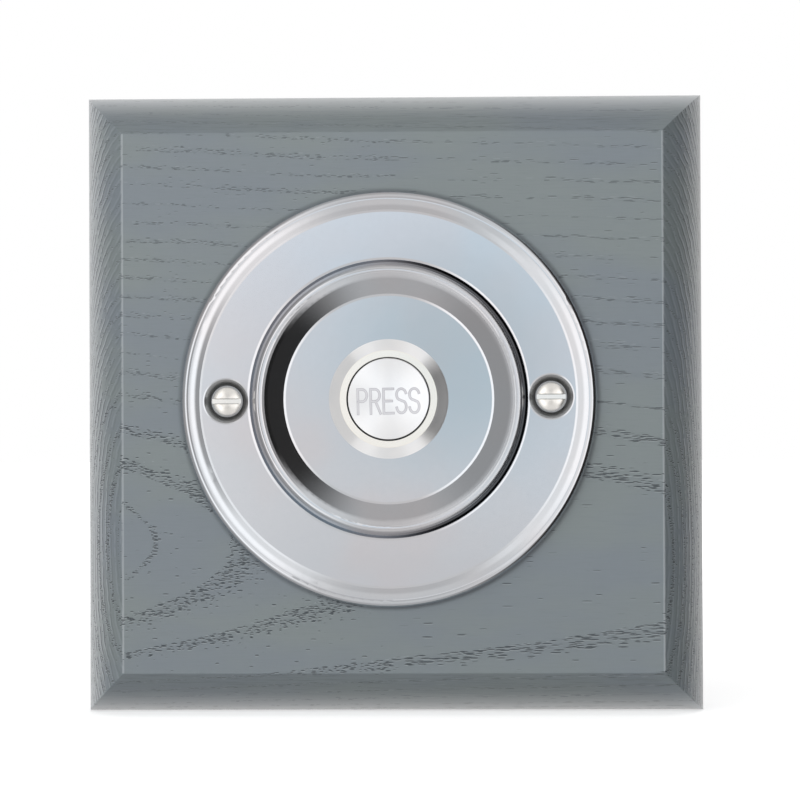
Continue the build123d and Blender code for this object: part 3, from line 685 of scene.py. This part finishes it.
etched_edge = plated_metal("etched_edge", (204, 203, 208), (200, 199, 205), 0.5, 0.002, 0.5)
etched_fill = plated_metal("etched_fill", (226, 226, 230), (220, 220, 224), 0.5, 0.002, 0.5)
lettering("word_edge", stroke_width, edge_lift, etched_edge)
lettering("word_fill", stroke_width * fill_share, fill_lift, etched_fill)


# Studio: world, surround for the metal's reflections, lamps, floor and camera
def studio_world():
    """Soft light on the object, and white where the camera or a mirror sees past it."""
    world = bpy.data.worlds.new("studio")
    scene.world = world
    world.use_nodes = True
    g = Graph(world.node_tree)
    path = g.node("ShaderNodeLightPath").outputs
    mirrored = g.math("MAXIMUM", path["Is Glossy Ray"], path["Is Transmission Ray"])
    seen = g.math("MAXIMUM", path["Is Camera Ray"], mirrored)
    soft = g.node("ShaderNodeBackground", {"Color": white, "Strength": world_light})
    full = g.node("ShaderNodeBackground", {"Color": white, "Strength": 1.0})
    both = g.node("ShaderNodeMixShader", {0: seen, 1: soft.outputs[0], 2: full.outputs[0]})
    g.node("ShaderNodeOutputWorld", {0: both.outputs[0]})


def surround():
    """The studio that the metal reflects, as a function of the direction from the dome's middle.

    Off the axis of the view it goes from the pale front, through a ring of soft light that is strongest
    at both sides, to the walls: dark at the right, grey at the left, and white paper behind the object.
    """
    bpy.ops.mesh.primitive_uv_sphere_add(segments=64, ring_count=32, radius=dome_radius)
    dome = bpy.context.object
    dome.name = "surround"
    made, g = new_material("surround")
    where = g.node("ShaderNodeTexCoord").outputs["Object"]
    way = g.node("ShaderNodeVectorMath", {0: where}, operation="NORMALIZE").outputs[0]
    x, y, z = g.split(way)
    off_axis = g.math("DEGREES", g.math("ARCCOSINE", g.times(y, -1.0)))
    spread = g.math("MAXIMUM", g.math("SQRT", g.add(g.times(x, x), g.times(z, z))), 0.001)
    side = g.math("DIVIDE", x, spread)
    height = g.math("DIVIDE", z, spread)
    leftward = g.times(side, -1.0)

    upright = g.smooth(g.math("ABSOLUTE", height), 0.8, 1.0)
    dim = g.math("MULTIPLY_ADD", g.smooth(leftward, 0.8, 1.0), -0.68, 1.17)
    dim = g.math("MULTIPLY_ADD", upright, -0.46, dim)
    sides = g.math("MAXIMUM", g.smooth(side, 0.45, 1.0), g.smooth(leftward, 0.25, 0.7))
    ring = g.between(sides, 0.86, 1.56)
    shoulder = g.math("MULTIPLY_ADD", g.smooth(leftward, 0.3, 0.8), -0.14, 0.76)
    slanting = g.window(g.math("ABSOLUTE", height), 0.80, 0.92, 0.10)
    shoulder = g.math("MULTIPLY_ADD", slanting, 0.16, shoulder)
    low_right = g.math("MULTIPLY_ADD", height, -0.05, side)
    shoulder = g.blend(g.smooth(low_right, 0.55, 0.90), shoulder, 0.02)
    far = g.math("MULTIPLY_ADD", g.smooth(leftward, 0.3, 0.8), -0.16, 0.60)
    far = g.blend(g.smooth(side, 0.15, 0.80), far, 0.04)

    # Each level takes over between two angles off the axis, in degrees
    level = 0.95
    for start, end, beyond in (
        (4.0, 9.0, 1.17),
        (13.0, 18.0, dim),
        (28.0, 40.0, ring),
        (47.0, 58.0, shoulder),
        (60.0, 74.0, far),
        (112.0, 128.0, 1.25),
    ):
        level = g.blend(g.smooth(off_axis, start, end), level, beyond)

    # In front the paper is warmer low at the left and bluer at the top, and the camera shades its middle
    warm_paper = (1.01, 0.985, 0.98, 1.0)
    cool_paper = (0.965, 1.06, 1.14, 1.0)
    camera_shade = (0.73, 0.85, 0.91, 1.0)
    low_shade = (0.76, 0.78, 0.80, 1.0)
    wall_white = (1.0, 0.99, 0.98, 1.0)
    cool = g.smooth(g.math("MULTIPLY_ADD", x, 0.5, z), -0.08, 0.08)
    tint = g.mix(cool, warm_paper, cool_paper)
    aside = g.add(x, 0.006)
    above = g.take(z, 0.028)
    camera_off = g.math("SQRT", g.add(g.times(aside, aside), g.times(above, above)))
    tint = g.mix(g.smooth(camera_off, 0.015, 0.065), camera_shade, tint)
    tint = g.mix(g.times(g.smooth(g.times(z, -1.0), 0.03, 0.07), 0.5), tint, low_shade)
    tint = g.mix(g.smooth(off_axis, 5.0, 20.0), tint, wall_white)
    light = g.node("ShaderNodeEmission", {"Color": tint, "Strength": level})
    g.node("ShaderNodeOutputMaterial", {0: light.outputs[0]})
    dome.data.materials.append(made)
    dome.visible_camera = False
    dome.visible_diffuse = False
    dome.visible_shadow = False
    dome.visible_transmission = False


def lamp(name, place, width, height, power):
    """An area lamp that looks at the object and isn't mirrored in its metal."""
    light = bpy.data.lights.new(name, "AREA")
    light.shape = "RECTANGLE"
    light.size = width
    light.size_y = height
    light.energy = power
    made = bpy.data.objects.new(name, light)
    made.location = place
    made.visible_glossy = False
    way = Vector((0.0, 0.0, 0.0)) - made.location
    made.rotation_euler = way.to_track_quat("-Z", "Y").to_euler()
    scene.collection.objects.link(made)


def studio_floor():
    """A pale floor that keeps the object's shadow, and whitens away from it for the camera."""
    mesh = bpy.data.meshes.new("floor")
    signs = ((-1, -1), (1, -1), (1, 1), (-1, 1))
    corners = [(across * floor_half, along * floor_half, cad_low.z) for across, along in signs]
    mesh.from_pydata(corners, [], [(0, 1, 2, 3)])
    floor = bpy.data.objects.new("floor", mesh)
    scene.collection.objects.link(floor)
    made, g = new_material("floor")
    path = g.node("ShaderNodeLightPath").outputs
    where = g.node("ShaderNodeTexCoord").outputs["Object"]
    away = g.node("ShaderNodeVectorMath", {0: where}, operation="LENGTH").outputs["Value"]
    brightness = g.between(g.smooth(away, floor_near, floor_far), 0.62, 1.0)
    pale = g.node("ShaderNodeBsdfDiffuse", {"Color": floor_grey})
    glow = g.node("ShaderNodeEmission", {"Strength": g.times(path["Is Camera Ray"], brightness)})
    both = g.node("ShaderNodeAddShader", {0: pale.outputs[0], 1: glow.outputs[0]})
    g.node("ShaderNodeOutputMaterial", {0: both.outputs[0]})
    mesh.materials.append(made)
    floor.visible_glossy = False


# For each lamp: place, width and height in metres, power in watts
lamps = {
    "front_box": ((-0.5, -1.45, 0.15), 1.2, 1.2, 17.0),
    "left_box": ((-1.2, -0.8, 0.1), 0.8, 1.2, 3.0),
    "top_box": ((0.0, -0.5, 1.3), 1.2, 0.9, 2.5),
    "back_box": ((0.35, 1.2, 0.45), 1.0, 0.8, 5.0),
}

studio_world()
surround()
studio_floor()
for name, values in lamps.items():
    lamp(name, *values)

camera = bpy.data.objects.new("camera", bpy.data.cameras.new("camera"))
camera.data.lens = camera_lens
camera.data.sensor_width = 36.0
camera.data.clip_start = 0.01
camera.location = camera_place
camera.rotation_euler = [math.radians(angle) for angle in camera_turn]
scene.collection.objects.link(camera)
scene.camera = camera
scene.view_settings.view_transform = "Standard"
